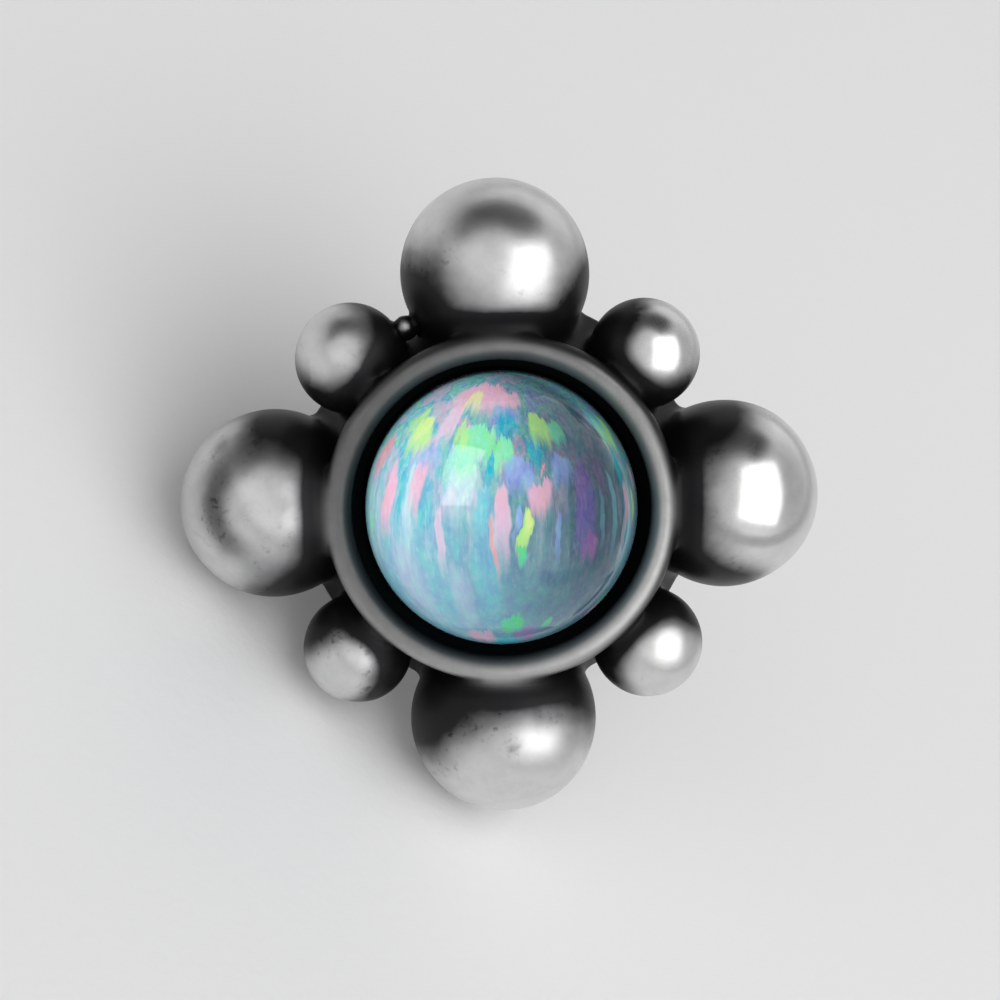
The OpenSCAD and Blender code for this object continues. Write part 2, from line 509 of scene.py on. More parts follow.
def closed_in(field, points, normals, reach, count, steps):
    """How much of the room over each point is taken within reach: 0 in the open, 1 in a crack."""
    helper = np.where(np.abs(normals[:, :1]) > 0.7, [[0.0, 1.0, 0.0]], [[1.0, 0.0, 0.0]])
    side = np.cross(normals, helper)
    side /= np.linalg.norm(side, axis=1, keepdims=True)
    other = np.cross(normals, side)
    open_share = np.zeros(len(points))
    weight = 0
    for x, y, z in spread_directions(count):
        ray = side * x + other * y + normals * z
        clear = np.ones(len(points))
        for i in range(1, steps + 1):
            far = reach * (i / steps) ** 1.5
            clear = np.minimum(clear, np.clip(field(points + ray * far) / (far * z * 0.9), 0, 1))
        open_share += clear * z
        weight += z
    return 1 - open_share / weight


# Making of objects


def add_piece(name, points, faces, material, node):
    """A smooth mesh from points in millimetres in the top's own frame, put where the node lies."""
    turn, shift = np.array(LAID_DOWN.to_3x3()), np.array(LAID_DOWN.translation)
    mesh = bpy.data.meshes.new(name)
    mesh.from_pydata((points * MM @ turn.T + shift).tolist(), [], [tuple(f) for f in faces])
    place = mesh.attributes.new("place", "FLOAT_VECTOR", "POINT")
    place.data.foreach_set("vector", points.astype(np.float32).ravel())
    mesh.validate()
    mesh.shade_smooth()
    mesh.materials.append(material)
    piece = bpy.data.objects.new(name, mesh)
    bpy.context.scene.collection.objects.link(piece)
    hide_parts(node)
    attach(piece, "root")
    return piece


def add_values(piece, **values):
    for name, numbers in values.items():
        attribute = piece.data.attributes.new(name, "FLOAT", "POINT")
        attribute.data.foreach_set("value", np.asarray(numbers, np.float32))


def tube_faces(rings, segments):
    """Faces over rings of points, upwards, with one more point for the foot and one for the top."""
    faces = []
    for i in range(rings - 1):
        for j in range(segments):
            a, b = i * segments + j, i * segments + (j + 1) % segments
            faces.append((a, b, b + segments, a + segments))
    foot = rings * segments
    highest = foot - segments
    for j in range(segments):
        k = (j + 1) % segments
        faces.append((foot, k, j))
        faces.append((foot + 1, highest + j, highest + k))
    return faces


def lathe(outline, segments):
    """Points and faces of an outline of (radius, height), from axis to axis, turned round +Z."""
    inner = outline[1:-1]
    angles = np.linspace(0, 2 * math.pi, segments, endpoint=False)
    points = [(r * math.cos(a), r * math.sin(a), z) for r, z in inner for a in angles]
    points += [(0, 0, outline[0][1]), (0, 0, outline[-1][1])]
    return np.array(points, float), tube_faces(len(inner), segments)


def stretch(low, high, step):
    """Evenly spaced values from low to high, both included, about a step apart."""
    return np.linspace(low, high, max(2, round(abs(high - low) / step) + 1))


# Material nodes


class Tree:
    """Short ways to make the nodes of one material, or of the world."""

    def __init__(self, owner, shader="Principled BSDF"):
        owner.use_nodes = True
        self.owner = owner
        self.nodes = owner.node_tree.nodes
        self.links = owner.node_tree.links
        self.shader = self.nodes[shader]

    def put(self, socket, value):
        if isinstance(value, bpy.types.NodeSocket):
            self.links.new(value, socket)
        elif isinstance(value, tuple) and socket.type == "RGBA" and len(value) == 3:
            socket.default_value = (*value, 1)
        else:
            socket.default_value = value

    def node(self, kind, inputs=None, **settings):
        made = self.nodes.new(kind)
        for name, value in settings.items():
            setattr(made, name, value)
        for key, value in (inputs or {}).items():
            self.put(made.inputs[key], value)
        return made

    def set(self, **inputs):
        """Inputs of the shader, named as on its sockets with _ for a space."""
        for name, value in inputs.items():
            self.put(self.shader.inputs[name.replace("_", " ")], value)

    def place(self):
        """Position in the top's own frame, in millimetres."""
        return self.node("ShaderNodeAttribute", attribute_name="place").outputs["Vector"]

    def parts(self, vector):
        return self.node("ShaderNodeSeparateXYZ", {0: vector}).outputs

    def vector(self, operation, a, b):
        return self.node("ShaderNodeVectorMath", {0: a, 1: b}, operation=operation)

    def scaled(self, vector, by):
        return self.vector("MULTIPLY", vector, by).outputs[0]

    def joined(self, x, y):
        """A vector of x and y, with z at 0."""
        return self.node("ShaderNodeCombineXYZ", {0: x, 1: y, 2: 0.0}).outputs[0]

    def value(self, name):
        return self.node("ShaderNodeAttribute", attribute_name=name).outputs["Fac"]

    def math(self, operation, a, b=0.0, c=0.0, clamp=False):
        made = self.node("ShaderNodeMath", {0: a, 1: b, 2: c}, operation=operation)
        made.use_clamp = clamp
        return made.outputs[0]

    def noise(self, vector, scale, detail=2.0, roughness=0.5):
        return self.node(
            "ShaderNodeTexNoise",
            {"Vector": vector, "Scale": scale, "Detail": detail, "Roughness": roughness},
        ).outputs["Fac"]

    def cell_colour(self, vector):
        return self.node(
            "ShaderNodeTexVoronoi", {"Vector": vector, "Scale": 1.0}
        ).outputs["Color"]

    def ease(self, value, low, high, to_low=0.0, to_high=1.0):
        return self.node(
            "ShaderNodeMapRange",
            {"Value": value, "From Min": low, "From Max": high, "To Min": to_low,
             "To Max": to_high},
            interpolation_type="SMOOTHSTEP",
        ).outputs[0]

    def ramp(self, value, stops):
        """A colour from stops of (place, colour)."""
        made = self.node("ShaderNodeValToRGB", {"Fac": value})
        elements = made.color_ramp.elements
        while len(elements) < len(stops):
            elements.new(0.5)
        for element, (place, colour) in zip(elements, stops):
            element.position, element.color = place, (*colour, 1)
        return made.outputs["Color"]

    def mix(self, share, a, b):
        """A colour that goes from a to b."""
        made = self.node("ShaderNodeMix", data_type="RGBA")
        for key, value in ((0, share), (6, a), (7, b)):
            self.put(made.inputs[key], value)
        return made.outputs[2]

    def between(self, share, a, b):
        """A number that goes from a to b."""
        return self.node("ShaderNodeMix", {0: share, 2: a, 3: b}, data_type="FLOAT").outputs[0]

    def bump(self, height, distance, strength=1.0):
        return self.node(
            "ShaderNodeBump", {"Height": height, "Distance": distance * MM, "Strength": strength}
        ).outputs[0]


SILVER = (0.70, 0.70, 0.695)
DULL_SILVER = (0.32, 0.32, 0.325)
# Rubbed silver, used for real rubbing and for the painted highlight on the rim's crest
RUBBED_AND_HIGHLIGHT_SILVER = (0.52, 0.52, 0.515)
BLACKENED = (0.011, 0.011, 0.012)
WEB_SHADE = (0.018, 0.018, 0.019)


def darkening(t, place, cloud, mottle, rim, satin_share):
    """How dark the silver is: more where it is closed in, faces sideways or down, or is stained;
    the staining is partly painted shade and painted dark reflections.
    """
    closed = t.math("ADD", t.value("closed_wide"), t.math("MULTIPLY", t.value("closed_near"), 0.3))
    # The staining read here is partly painted shade and painted dark reflections on the beads
    closed = t.math("ADD", closed, t.value("stain"))
    closed = t.math("MULTIPLY_ADD", rim, 0.30, closed)
    # Painted shade: darker where the surface faces sideways or down
    closed = t.math("ADD", closed, t.ease(t.value("facing"), 0.32, -0.25, 0.0, 0.27))
    uneven = t.math("MULTIPLY_ADD", cloud, 0.5, t.math("MULTIPLY_ADD", mottle, 0.14, -0.32))
    closed = t.math("MULTIPLY_ADD", t.math("ADD", closed, 0.03), uneven, closed)
    speckle = t.ease(t.noise(place, 17, 3, 0.6), 0.52, 0.76, 0.0, 0.10)
    patchy = t.ease(t.noise(place, 3.1, 2, 0.5), 0.42, 0.62)
    speckle = t.math("MULTIPLY", speckle, t.math("MULTIPLY", patchy, satin_share))
    return t.math("ADD", closed, speckle)


def lapped_back(t, place, cloud, colour):
    """The colour with the flat back's rubbed edge, crossing scratches and smudges on it."""
    _, _, height = t.parts(place)
    back = t.ease(height, BACK_Z + 0.014, BACK_Z + 0.004)
    edge = t.math("SUBTRACT", t.ease(height, BACK_Z + 0.035, BACK_Z + 0.012), back, clamp=True)
    edge = t.math("MULTIPLY", edge, t.ease(t.value("closed_near"), 0.30, 0.05))
    rubbed = t.math("MULTIPLY", edge, t.ease(cloud, 0.3, 0.6, 0.3, 0.9))
    colour = t.mix(rubbed, colour, RUBBED_AND_HIGHLIGHT_SILVER)
    lapped = t.noise(t.scaled(place, (5, 95, 1)), 1.0, 3, 0.7)
    across = t.noise(t.scaled(place, (70, 12, 1)), 1.0, 2, 0.6)
    lapped = t.math("MULTIPLY_ADD", across, 0.4, t.math("MULTIPLY", lapped, 0.6))
    scratched = t.math("MULTIPLY", back, t.ease(lapped, 0.45, 0.70, 0.0, 0.55))
    colour = t.mix(scratched, colour, RUBBED_AND_HIGHLIGHT_SILVER)
    smudged = t.math("MULTIPLY", back, t.ease(cloud, 0.50, 0.68, 0.0, 0.55))
    return t.mix(smudged, colour, WEB_SHADE)


def satin_relief(t, place, satin, satin_share):
    """Shading normals of a satin grain crossed by fine lines."""
    lines_a = t.noise(t.scaled(place, (3, 46, 30)), 1.0, 2, 0.6)
    lines_b = t.noise(t.scaled(place, (40, 5, 34)), 1.0, 2, 0.6)
    lines = t.math("ADD", lines_a, lines_b)
    relief = t.math("MULTIPLY_ADD", lines, 0.3, t.math("MULTIPLY", satin, 0.5))
    return t.bump(relief, 0.0007, satin_share)


def darkened_silver():
    """Satin silver, darkened where it is closed in, with painted shade and painted dark reflections
    in its darkening, and rubbed bright on its high spots, with a painted highlight along the rim's
    crest.
    """
    t = Tree(bpy.data.materials.new("darkened_silver"))
    place = t.place()
    cloud = t.noise(place, 2.4, 3, 0.55)
    mottle = t.noise(place, 9, 4, 0.6)
    rim = t.value("rim")
    satin_share = t.math("MULTIPLY_ADD", t.value("polish"), -5.5, 1.0, clamp=True)
    closed = darkening(t, place, cloud, mottle, rim, satin_share)
    dull = t.ease(closed, 0.06, 0.36)
    black = t.ease(closed, 0.22, 0.52)
    # Rubbed silver along the rim's crest, partly a painted highlight
    crest = t.math("MULTIPLY", t.value("crest"), t.ease(mottle, 0.2, 0.7, 0.85, 1.0))

    colour = t.mix(t.ease(mottle, 0.35, 0.75, 0, 0.16), SILVER, DULL_SILVER)
    colour = t.mix(dull, colour, DULL_SILVER)
    crease = t.ease(t.value("closed_near"), 0.05, 0.35)
    colour = t.mix(black, colour, t.mix(crease, WEB_SHADE, BLACKENED))
    colour = t.mix(crest, colour, RUBBED_AND_HIGHLIGHT_SILVER)
    black = t.math("SUBTRACT", black, crest, clamp=True)
    colour = lapped_back(t, place, cloud, colour)

    satin = t.noise(t.scaled(place, (1.0, 1.0, 0.35)), 60, 3, 0.6)
    rough = t.between(t.math("MAXIMUM", dull, rim), 0.34, 0.45)
    rough = t.between(black, rough, 0.42)
    rough = t.math("ADD", rough, t.math("MULTIPLY_ADD", satin, 0.06, -0.03))
    rough = t.math("ADD", rough, t.math("MULTIPLY_ADD", cloud, 0.12, -0.06))
    rough = t.math("SUBTRACT", rough, t.value("polish"))
    normal = satin_relief(t, place, satin, satin_share)
    t.set(
        Base_Color=colour, Roughness=rough, Normal=normal, Metallic=t.between(black, 1.0, 0.6),
        Specular_IOR_Level=0.2,
    )
    return t.owner


STEEL = (0.78, 0.78, 0.775)
STEEL_SHADE = (0.3, 0.3, 0.31)


def bright_steel():
    """Turned and polished steel, with fine lines round its axis, darker and rougher in the thread's
    groove.
    """
    t = Tree(bpy.data.materials.new("bright_steel"))
    place = t.place()
    groove = t.value("groove")
    cloud = t.noise(place, 6, 3)
    dull = t.math("MULTIPLY", t.ease(groove, 0.35, 1.0), t.ease(cloud, 0.2, 0.7, 0.55, 1.0))
    colour = t.mix(dull, STEEL, STEEL_SHADE)
    turned = t.noise(t.scaled(place, (1.5, 1.5, 90)), 1.0, 3, 0.6)
    rough = t.math("ADD", t.between(dull, 0.14, 0.32), t.math("MULTIPLY_ADD", turned, 0.12, -0.06))
    normal = t.bump(turned, 0.003)
    t.set(Base_Color=colour, Roughness=rough, Normal=normal, Metallic=1.0)
    return t.owner


# Colours of the stone; the sea, slate and deep blues also paint its shade
MILK_BLUE = (0.21, 0.48, 0.61)
SEA_BLUE = (0.125, 0.27, 0.36)
SLATE_BLUE = (0.060, 0.115, 0.180)
DEEP_BLUE = (0.018, 0.050, 0.090)
PALE = (0.62, 0.80, 0.86)
MIST = (0.50, 0.55, 0.72)
PINK = (0.86, 0.46, 0.62)
ROSE = (0.86, 0.36, 0.42)
BLUSH = (0.74, 0.56, 0.72)
MINT = (0.26, 0.88, 0.46)
LIME = (0.50, 0.88, 0.26)
YELLOW = (0.80, 0.90, 0.30)
GREEN = (0.08, 0.70, 0.26)
TEAL = (0.02, 0.48, 0.60)
CYAN = (0.16, 0.60, 0.72)
LAVENDER = (0.30, 0.42, 0.86)
VIOLET = (0.20, 0.13, 0.48)
PLUM = (0.34, 0.15, 0.44)
WHITE = (0.80, 0.90, 0.92)

# Soft play of colour under the flashes, along a noise's values
PLAY = (
    (0.30, LAVENDER), (0.38, CYAN), (0.44, MINT), (0.50, TEAL), (0.56, MIST), (0.62, PINK),
    (0.70, CYAN),
)

# Flashes of the stone: colour, place across, low end, high end and half width, as shares of the
# stone's radius seen from the front, lean in degrees, share of its width that fades, and strength
FLASHES = (
    (MIST, -0.62, -0.85, -0.15, 0.10, 0, 0.9, 0.45),
    (MIST, -0.30, -0.80, -0.25, 0.07, 0, 0.9, 0.40),
    (CYAN, -0.14, -0.85, 0.30, 0.10, 0, 0.8, 0.45),
    (CYAN, -0.74, -0.20, 0.46, 0.09, 0, 0.6, 0.55),
    (MINT, -0.95, -0.22, 0.06, 0.012, 0, 0.6, 0.80),
    (PINK, -0.83, -0.18, 0.42, 0.040, -5, 0.35, 0.95),
    (ROSE, -0.86, 0.22, 0.62, 0.030, -10, 0.5, 0.80),
    (TEAL, -0.745, -0.14, 0.38, 0.022, -4, 0.4, 0.70),
    (PALE, -0.685, -0.25, 0.44, 0.032, -3, 0.6, 0.65),
    (PINK, -0.62, 0.02, 0.47, 0.048, -4, 0.45, 0.80),
    (TEAL, -0.555, -0.12, 0.36, 0.050, -2, 0.5, 0.60),
    (BLUSH, -0.46, -0.42, 0.16, 0.032, 0, 0.5, 0.75),
    (LAVENDER, -0.56, 0.38, 0.58, 0.13, 0, 0.6, 0.55),
    (TEAL, -0.72, 0.34, 0.56, 0.06, -30, 0.6, 0.55),
    (LIME, -0.60, 0.50, 0.76, 0.10, -38, 0.5, 0.85),
    (YELLOW, -0.55, 0.60, 0.76, 0.05, -38, 0.6, 0.60),
    # Painted reflection: the white flash below is a window's reflection on the stone
    (WHITE, -0.29, -0.02, 0.46, 0.14, 0, 0.35, 0.35),
    (MINT, -0.30, 0.32, 0.56, 0.10, 0, 0.5, 0.60),
    (BLUSH, -0.37, 0.52, 0.84, 0.055, -6, 0.4, 0.90),
    (PINK, -0.15, 0.74, 0.95, 0.20, 0, 0.4, 0.85),
    (PINK, 0.06, 0.78, 0.90, 0.08, 0, 0.5, 0.80),
    (YELLOW, -0.20, 0.76, 0.90, 0.06, 0, 0.6, 0.60),
    (MINT, -0.18, 0.43, 0.72, 0.13, 0, 0.35, 0.90),
    (LIME, -0.29, 0.52, 0.70, 0.05, 0, 0.5, 0.75),
    (MINT, 0.00, 0.34, 0.62, 0.07, 0, 0.35, 0.90),
    (LAVENDER, 0.02, 0.68, 0.82, 0.12, 0, 0.7, 0.55),
    (TEAL, 0.03, 0.58, 0.76, 0.09, 24, 0.4, 0.80),
    (TEAL, -0.105, 0.27, 0.54, 0.030, -10, 0.3, 0.95),
    (CYAN, -0.16, -0.10, 0.34, 0.045, -4, 0.5, 0.70),
    (LAVENDER, 0.11, 0.17, 0.48, 0.11, 0, 0.5, 0.75),
    (TEAL, 0.23, 0.36, 0.62, 0.045, 22, 0.5, 0.75),
    (LIME, 0.27, 0.50, 0.76, 0.08, 0, 0.45, 0.90),
    (MINT, 0.39, 0.52, 0.72, 0.05, 0, 0.5, 0.80),
    (LAVENDER, 0.41, 0.24, 0.48, 0.08, 0, 0.5, 0.75),
    (ROSE, 0.27, 0.355, 0.395, 0.022, 30, 0.4, 0.90),
    (PINK, 0.255, 0.06, 0.32, 0.09, 0, 0.45, 0.85),
    (BLUSH, -0.02, -0.30, 0.30, 0.062, 3, 0.4, 0.85),
    (PINK, -0.03, -0.05, 0.30, 0.045, 3, 0.6, 0.60),
    (ROSE, -0.08, -0.46, 0.12, 0.018, 5, 0.5, 0.80),
    (LAVENDER, 0.085, -0.10, 0.14, 0.020, -12, 0.4, 0.85),
    (LIME, 0.135, -0.26, 0.14, 0.040, -10, 0.3, 0.95),
    (YELLOW, 0.150, -0.08, 0.12, 0.022, -10, 0.4, 0.80),
    (GREEN, 0.125, -0.28, -0.10, 0.030, 0, 0.4, 0.80),
    (LAVENDER, 0.375, -0.32, 0.12, 0.020, 0, 0.5, 0.60),
    (SLATE_BLUE, 0.50, -0.30, 0.42, 0.04, 0, 0.7, 0.50),
    (VIOLET, 0.585, -0.30, 0.42, 0.075, 0, 0.5, 0.85),
    (PLUM, 0.60, -0.32, -0.08, 0.055, 0, 0.6, 0.75),
    (PLUM, 0.69, 0.20, 0.44, 0.035, 0, 0.6, 0.60),
    (CYAN, 0.70, -0.25, 0.26, 0.015, 0, 0.6, 0.50),
    (TEAL, 0.955, -0.25, 0.34, 0.014, 0, 0.6, 0.55),
    (GREEN, 0.05, -0.84, -0.64, 0.08, 0, 0.6, 0.80),
    (GREEN, 0.30, -0.80, -0.68, 0.03, 0, 0.6, 0.65),
    (PINK, -0.16, -0.95, -0.80, 0.09, 0, 0.6, 0.65),
    (PLUM, 0.14, -0.93, -0.78, 0.09, 0, 0.6, 0.60),
    (TEAL, 0.02, -0.98, -0.86, 0.09, 0, 0.6, 0.80),
)

# The same for the stone's right flank, beyond what is well seen from the front
FLANK_FLASHES = (
    (CYAN, 0.90, -0.50, 0.25, 0.040, 0, 0.9, 0.45),
    (CYAN, 0.79, -0.40, 0.34, 0.018, 0, 0.7, 0.40),
    (MINT, 0.745, 0.44, 0.70, 0.042, 0, 0.5, 0.75),
    (LIME, 0.770, 0.50, 0.66, 0.022, 0, 0.5, 0.75),
    (CYAN, 0.66, 0.60, 0.74, 0.045, 0, 0.6, 0.55),
    (TEAL, 0.830, 0.16, 0.48, 0.016, 0, 0.4, 0.75),
    (PINK, 0.895, -0.16, 0.22, 0.016, 3, 0.5, 0.75),
    (BLUSH, 0.860, -0.38, 0.05, 0.018, 0, 0.6, 0.40),
    (LIME, 0.940, -0.10, 0.24, 0.010, 0, 0.4, 0.80),
    (PINK, 0.945, 0.12, 0.34, 0.010, 0, 0.5, 0.75),
    (PINK, 0.62, -0.80, -0.68, 0.030, 0, 0.6, 0.60),
    (GREEN, 0.70, -0.72, -0.60, 0.022, 0, 0.5, 0.65),
)


def torn(t, angles):
    """Longitude and latitude, shifted so that a flash ends in jagged upright strokes."""
    coarse = t.noise(t.scaled(angles, (7, 0.7, 1)), 1.0, 1, 0.5)
    fine = t.noise(t.scaled(angles, (30, 1.0, 1)), 1.0, 2, 0.6)
    wander = t.noise(t.scaled(angles, (2.5, 4, 1)), 1.0, 2, 0.5)
    rise = t.math("MULTIPLY_ADD", coarse, 0.26, t.math("MULTIPLY_ADD", fine, 0.22, -0.24))
    aside = t.math("MULTIPLY_ADD", wander, 0.10, -0.05)
    return t.vector("ADD", angles, t.joined(aside, rise)).outputs[0]


def flash_share(t, spot, across, low, high, half_w, lean, fade, strength):
    """Share of a flash at a spot: an upright stroke with a clean head and a tail that fades."""
    low, high = math.asin(low), math.asin(high)
    latitude = (low + high) / 2
    narrow = math.cos(latitude)
    longitude = math.asin(across / narrow)
    half_lon = half_w / narrow / math.cos(longitude)
    own = t.node(
        "ShaderNodeMapping",
        {"Vector": spot, "Location": (longitude, latitude, 0),
         "Rotation": (0, 0, math.radians(lean)), "Scale": (half_lon, (high - low) / 2, 1)},
        vector_type="TEXTURE",
    ).outputs[0]
    a, b, _ = t.parts(own)
    b_squared = t.math("MULTIPLY", b, b)
    away = t.math("MULTIPLY_ADD", b_squared, b_squared, t.math("MULTIPLY", a, a))
    body = t.ease(away, 1 + fade / 2, 1 - fade, 0.0, strength)
    return t.math("MULTIPLY", body, t.ease(b, -1.1, 0.1))


def with_flashes(t, colour, spot, flashes):
    for tint, *form in flashes:
        colour = t.mix(flash_share(t, spot, *form), colour, tint)
    return colour


def milky_body(t, own, side, lit_side, columns):
    """The stone's milky blue, darker towards one side as painted shade, with pale and blushing
    columns on its painted lit side.
    """
    colour = t.mix(t.ease(side, -0.7, 0.25), MILK_BLUE, SEA_BLUE)
    colour = t.mix(t.ease(side, -0.10, 0.75), colour, SLATE_BLUE)
    broad = t.noise(t.scaled(own, (6, 0.6, 6)), 1.0, 2, 0.5)
    for share, tint in (
        (t.ease(broad, 0.50, 0.72, 0, 0.5), PALE),
        (t.ease(columns, 0.55, 0.75, 0, 0.5), CYAN),
        (t.ease(columns, 0.46, 0.28, 0, 0.45), BLUSH),
    ):
        colour = t.mix(t.math("MULTIPLY", share, lit_side), colour, tint)
    return colour


def hue_shifted(t, own, colour):
    """The colour with its hue wandering a little from spot to spot."""
    hue = t.noise(t.scaled(own, (12, 5, 12)), 1.0, 2, 0.5)
    return t.node(
        "ShaderNodeHueSaturation",
        {"Hue": t.ease(hue, 0.3, 0.7, 0.475, 0.525), "Saturation": 1.04, "Value": 1.0, "Fac": 1.0,
         "Color": colour},
    ).outputs[0]


def milky_opal():
    """Milky blue stone with upright columns, torn flashes of colour and a glossy polish, with
    painted shade towards +X and its corner at +X and +Y, and a painted window reflection.
    """
    t = Tree(bpy.data.materials.new("milky_opal"))
    own = t.vector("ADD", t.place(), (0, 0, -DOME_Z)).outputs[0]
    own = t.scaled(own, (1 / OPAL_R,) * 3)
    x, y, z = t.parts(own)
    longitude = t.math("ARCTAN2", x, z)
    angles = t.joined(longitude, t.math("ARCSINE", y))
    spot = torn(t, angles)
    # Painted shade: the stone darkens towards +X, and the part towards -X and up is treated as lit,
    # where pale columns, play of colour and white strokes show
    side = t.math("MULTIPLY_ADD", y, 0.25, x)
    lit_side = t.math(
        "MULTIPLY", t.ease(side, -0.6, 0.9, 1.0, 0.3), t.ease(y, -0.6, 0.2, 0.25, 1.0)
    )

    columns = t.noise(t.scaled(own, (22, 0.8, 22)), 1.0, 3, 0.55)
    play = t.ramp(t.noise(t.scaled(own, (7, 1.7, 4)), 1.0, 2, 0.55), PLAY)
    colour = milky_body(t, own, side, lit_side, columns)
    play_share = t.math("MULTIPLY", t.ease(y, -0.1, 0.6, 0.08, 0.55), lit_side)
    colour = t.mix(play_share, colour, play)
    colour = with_flashes(t, colour, spot, FLASHES)
    colour = hue_shifted(t, own, colour)
    strokes = t.noise(t.scaled(own, (50, 3.5, 50)), 1.0, 2, 0.6)
    colour = t.mix(t.math("MULTIPLY", t.ease(strokes, 0.5, 0.8, 0, 0.30), lit_side), colour, WHITE)
    # Painted shade: the corner towards +X and +Y darkens to deep blue
    corner = t.math("MULTIPLY_ADD", y, 0.42, t.math("MULTIPLY", x, 0.8))
    colour = t.mix(t.ease(corner, 0.25, 0.85, 0, 0.8), colour, DEEP_BLUE)

    flank_play = t.mix(t.ease(columns, 0.38, 0.66, 0.2, 0.7), SEA_BLUE, MILK_BLUE)
    flank_play = t.mix(t.ease(y, -0.3, 0.6, 0.05, 0.45), flank_play, play)
    flank = t.ease(longitude, math.radians(50), math.radians(72))
    colour = t.mix(t.math("MULTIPLY", flank, 0.80), colour, flank_play)
    colour = with_flashes(t, colour, spot, FLANK_FLASHES)
    scales = t.cell_colour(t.scaled(angles, (34, 22, 1)))
    scales = t.ease(t.parts(scales)[0], 0.0, 1.0, 0.0, 0.12)
    colour = t.mix(t.math("MULTIPLY", scales, lit_side), colour, WHITE)
    t.set(
        Base_Color=colour, Roughness=0.45, Specular_IOR_Level=0.0, Coat_Weight=1.0,
        Coat_Roughness=0.06, Coat_IOR=1.44, Metallic=0.0,
    )
    t.set(Normal=t.bump(t.noise(own, 2.5, 1), 0.01, 0.3))
    return t.owner


# The three pieces

# Reach of the rays that judge how closed in a spot is, in millimetres, their count and their steps
NEAR_RAYS = (0.16, 8, 3)
WIDE_RAYS = (1.2, 14, 5)

# Meshes of the opal and the post: points round them, and steps along them in millimetres or degrees
SEGMENTS = 240
DOME_STEP = 1.2
OPAL_STEP = 0.05
THREAD_STEP = 0.0096
POST_STEP = 0.06
# Rounding of the post's edges and of the thread's crests, in millimetres
POST_EDGE = 0.012
CREST_ROUNDING = 0.02
# The groove runs out over the last half of a turn, to just above the crests
RUN_OUT_TURNS = 0.5
RUN_OUT_OVER = 0.01


def make_setting():
    points, quads = surface_net(setting_field, GRID_LOW, GRID_HIGH, GRID_STEP)
    points = settle(setting_field, points, quads, SETTLE_ROUNDS, GRID_STEP)
    piece = add_piece("beaded_setting", points, quads, darkened_silver(), "setting")
    normals = normals_of(setting_field, points)
    add_values(
        piece,
        closed_near=closed_in(crowded_field, points, normals, *NEAR_RAYS),
        closed_wide=closed_in(crowded_field, points, normals, *WIDE_RAYS),
        stain=stains_and_shade(points),
        polish=spots_at(points, POLISHED),
        rim=near_rim(points),
        crest=crest_rubbing_and_highlight(points),
        facing=normals[:, 2],
    )


def opal_outline():
    angles = stretch(0, math.pi / 2, math.radians(DOME_STEP))
    foot = stretch(0, OPAL_R - OPAL_BEVEL, OPAL_STEP)
    outline = [(r, GIRDLE_Z) for r in foot]
    outline += [(OPAL_R - OPAL_BEVEL * 0.5, GIRDLE_Z + OPAL_BEVEL * 0.5)]
    outline += [(OPAL_R, z) for z in stretch(GIRDLE_Z + OPAL_BEVEL, DOME_Z - 0.01, OPAL_STEP)]
    outline += [(OPAL_R * math.cos(a), DOME_Z + OPAL_R * math.sin(a)) for a in angles[:-1]]
    return outline + [(0, DOME_Z + OPAL_R)]


def make_opal():
    points, faces = lathe(opal_outline(), SEGMENTS)
    return add_piece("opal_cabochon", points, faces, milky_opal(), "opal")


def thread_radius(azimuth, height):
    """Radius and groove's share of the threaded stretch, at azimuths in degrees and a height."""
    slope = math.tan(math.radians(30))
    root_r = THREAD_R - THREAD_DEPTH
    root_w = THREAD_PITCH * 7 / 8 - 2 * THREAD_DEPTH * slope
    last_turn = (SHOULDER_Z - TIP_Z) / THREAD_PITCH - RUN_OUT_TURNS
    part = ((azimuth - GROOVE_EXIT_AZIMUTH) / 360) % 1
    turn = np.round((height - TIP_Z) / THREAD_PITCH - part) + part
    run_out = np.clip(1 - (last_turn - turn) / RUN_OUT_TURNS, 0, 1)
    floor_r = root_r + run_out * (THREAD_DEPTH + RUN_OUT_OVER)
    floor_half = root_w / 2 + (floor_r - root_r) * slope
    away = np.abs(height - TIP_Z - turn * THREAD_PITCH)
    groove_r = floor_r + np.maximum(away - floor_half, 0) / slope
    crest = np.interp(height, [TIP_Z, LEAD_IN_Z, SHOULDER_Z], [TIP_R, THREAD_CREST_R, THREAD_R])
    radius = smooth_min(crest, groove_r, CREST_ROUNDING)
    radius = np.where(height >= SHOULDER_Z - 1e-6, THREAD_R, np.minimum(radius, crest))
    return radius, np.clip((crest - radius) / THREAD_DEPTH, 0, 1)


def post_rows():
    """Radius, height and groove's share of each ring of points, from the tip to the stem's top."""
    azimuths = np.linspace(0, 360, SEGMENTS, endpoint=False)
    tip_radius, _ = thread_radius(azimuths, TIP_Z)
    rows = [(tip_radius * share, TIP_Z, 0) for share in (0.3, 0.6, 0.85)]
    for height in stretch(TIP_Z, SHOULDER_Z, THREAD_STEP):
        radius, groove = thread_radius(azimuths, height)
        rows.append((radius, height, groove))
    top, edge = SHOULDER_TOP_Z, POST_EDGE
    rows += [(THREAD_R, z, 0) for z in stretch(SHOULDER_Z + 0.02, top - edge, POST_STEP)]
    for angle in stretch(0, math.pi / 2, math.radians(30))[1:]:
        away, rise = edge * math.cos(angle), edge * math.sin(angle)
        rows.append((THREAD_R - edge + away, top - edge + rise, 0))
    rows += [(STEM_R + 0.04, top, 0), (STEM_R, top, 0)]
    rows += [(STEM_R, z, 0) for z in stretch(top + 0.01, STEM_TOP_Z - edge, POST_STEP)]
    return rows + [(STEM_R - edge, STEM_TOP_Z, 0), (STEM_R * 0.5, STEM_TOP_Z, 0)]


